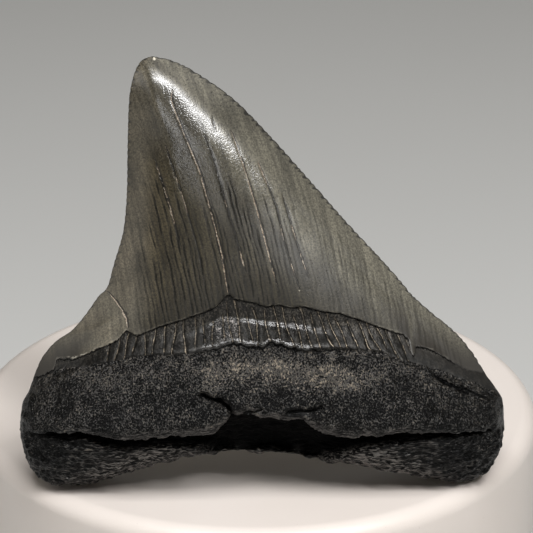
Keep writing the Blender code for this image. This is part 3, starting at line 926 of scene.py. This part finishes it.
def toothPaint():
    look = toothLook
    p = ToothPaint()
    x, across, overEnamel, overNeck = p.read("x", "across", "overEnamel", "overNeck")
    bruised, holed = (spot.rise(0.0, 0.5) * p.onFront for spot in p.read("pale", "dark"))
    root = rootCoat(p)
    enamel = enamelCoat(p)
    border = overEnamel + p.ragged * 0.42 + (p.fine - 0.5) * 0.4
    crown = layered(p, border.rise(-0.03, 0.03), bandCoat(p, root["crumbs"]), enamel)
    gap = abs(border + 0.04).rise(0.03, 0.11, 1.0, 0.0) * p.onFront
    gap = gap * across.rise(0.84, 0.9, 1.0, 0.1)
    rimLight = abs(border - 0.15).rise(0.02, 0.08, 1.0, 0.0) * p.patchy.rise(0.45, 0.6) * p.onFront
    rimLight = rimLight * abs(x + 18.1).rise(0.5, 1.3, 1.0, 0.25) * across.rise(0.82, 0.88, 1.0, 0.1)
    colour = p.blend(bruised * 0.8, crown["colour"], look["crackPale"])
    colour = p.blend(holed * 0.9, colour, look["crackDark"])
    colour = p.blend(rimLight * 0.5, colour, look["crackPale"])
    crown["colour"] = p.blend(gap, colour, look["rootBlack"])
    crown["height"] = crown["height"] - gap * 0.08
    crown["rough"] = crown["rough"] + (p.fine - 0.5) * 0.12
    crown["metal"] = crown["metal"].atLeast(gap * 0.9)
    coat = layered(p, (overNeck + p.ragged * 0.3).rise(-0.05, 0.05), root, crown)
    return p.finish(Base_Color=coat["colour"], Roughness=coat["rough"], Metallic=coat["metal"],
                    Normal=p.relief(coat["height"]), Coat_Weight=enamel["polish"],
                    Coat_Roughness=look["polishRough"], Coat_IOR=look["polishIor"],
                    IOR=look["ior"])


# The stand.

stand = {
    "topRound": 1.8, "footRound": 1.2, "sides": 240, "roundSteps": 12, "topRings": (0.12, 0.94, 8),
    "cream": (0.68, 0.622, 0.58, 1.0), "shade": (0.61, 0.55, 0.505, 1.0),
    "dust": (0.35, 0.29, 0.24, 1.0),
}


def makeStand():
    low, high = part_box("stand")
    radius, top = (high[0] - low[0]) / 2 / mm, high[2] / mm
    profile = [(0.0, top)]
    for ring in np.linspace(*stand["topRings"]):
        profile.append((radius * ring, top))
    for centre, size, start in ((top - stand["topRound"], stand["topRound"], math.pi / 2),
                                (stand["footRound"], stand["footRound"], 0.0)):
        for angle in np.linspace(start, start - math.pi / 2, stand["roundSteps"] + 1):
            profile.append((radius - size + size * math.cos(angle),
                            centre + size * math.sin(angle)))
    profile.append((0.0, 0.0))
    work = bmesh.new()
    verts = [work.verts.new((r * mm, 0.0, z * mm)) for r, z in profile]
    edges = [work.edges.new(pair) for pair in zip(verts, verts[1:])]
    bmesh.ops.spin(work, geom=verts + edges, axis=(0, 0, 1), cent=(0, 0, 0),
                   angle=2 * math.pi, steps=stand["sides"], use_merge=True)
    bmesh.ops.remove_doubles(work, verts=work.verts, dist=1e-6)
    mesh = bpy.data.meshes.new("standBody")
    made = finishPiece(work, mesh, standPaint())
    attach(made, "root")
    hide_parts("stand")
    print("stand:", len(mesh.polygons), "faces")


def standPaint():
    p = Paint("standFinish")
    place = p.node("TexCoord", {}, {}, "Object").times((1000.0, 1000.0, 1000.0))
    broad = p.cloud(place, 0.05, 3.0, 0.5)
    fine = p.cloud(place, 6.0, 3.0, 0.6)
    dust = p.cells(place, 0.9).rise(0.03, 0.07, 1.0, 0.0) * broad.rise(0.45, 0.6)
    colour = p.blend(broad.rise(0.3, 0.7) * 0.5, stand["cream"], stand["shade"])
    return p.finish(Base_Color=p.blend(dust * 0.35, colour, stand["dust"]),
                    Roughness=0.36 + (fine - 0.5) * 0.12,
                    Normal=p.relief((fine - 0.5) * 0.015 + (broad - 0.5) * 0.1))


# Floor, lights and camera.

studio = {
    "floor": (0.50, 0.50, 0.49, 1.0), "world": (0.040, 0.032, 0.017, 1.0), "floorReach": 3000.0,
    "cameraPlace": (1.19, -296.7, 158.8), "pitch": 23.283, "lens": 202.6, "sensor": 36.0,
    "lights": (   # name, place, aimed at, width, height, watts
        ("top", (0, -175, 385), (0, -20, 20), 240, 120, 1.45),
        ("key", (140, -200, 310), (0, -16, 42), 45, 140, 0.9),
        ("front", (-60, -400, 110), (0, -16, 35), 90, 120, 0.16),
        ("left", (-330, -105, 180), (0, -15, 20), 200, 200, 0.12),
        ("back", (40, 300, 230), (0, -10, 25), 200, 200, 0.04)),
}


def makeStudio():
    scene = bpy.context.scene
    floorMesh = bpy.data.meshes.new("floor")
    reach = studio["floorReach"] * mm
    floorMesh.from_pydata([(-reach, -reach, 0), (reach, -reach, 0), (reach, reach, 0),
                           (-reach, reach, 0)], [], [(0, 1, 2, 3)])
    p = Paint("floorFinish")
    place = p.node("TexCoord", {}, {}, "Object")
    floorMesh.materials.append(p.finish(
        Base_Color=studio["floor"], Roughness=0.75 + p.cloud(place, 40.0) * 0.1))
    floor = bpy.data.objects.new("floor", floorMesh)
    scene.collection.objects.link(floor)

    world = bpy.data.worlds.new("studio")
    world.use_nodes = True
    world.node_tree.nodes["Background"].inputs[0].default_value = studio["world"]
    scene.world = world
    scene.view_settings.view_transform = "Standard"
    for name, place, target, width, height, watts in studio["lights"]:
        light = bpy.data.lights.new(name, "AREA")
        light.shape = "RECTANGLE"
        light.size = width * mm
        light.size_y = height * mm
        light.energy = watts
        made = bpy.data.objects.new(name, light)
        made.location = Vector(place) * mm
        made.rotation_euler = (Vector(target) - Vector(place)).to_track_quat("-Z", "Y").to_euler()
        scene.collection.objects.link(made)

    camera = bpy.data.cameras.new("camera")
    camera.lens = studio["lens"]
    camera.sensor_width = studio["sensor"]
    made = bpy.data.objects.new("camera", camera)
    made.location = Vector(studio["cameraPlace"]) * mm
    made.rotation_euler = (math.radians(90.0 - studio["pitch"]), 0.0, 0.0)
    scene.collection.objects.link(made)
    scene.camera = made
    print("studio: floor, lights and camera")


makeStudio()
makeStand()
makeTooth()
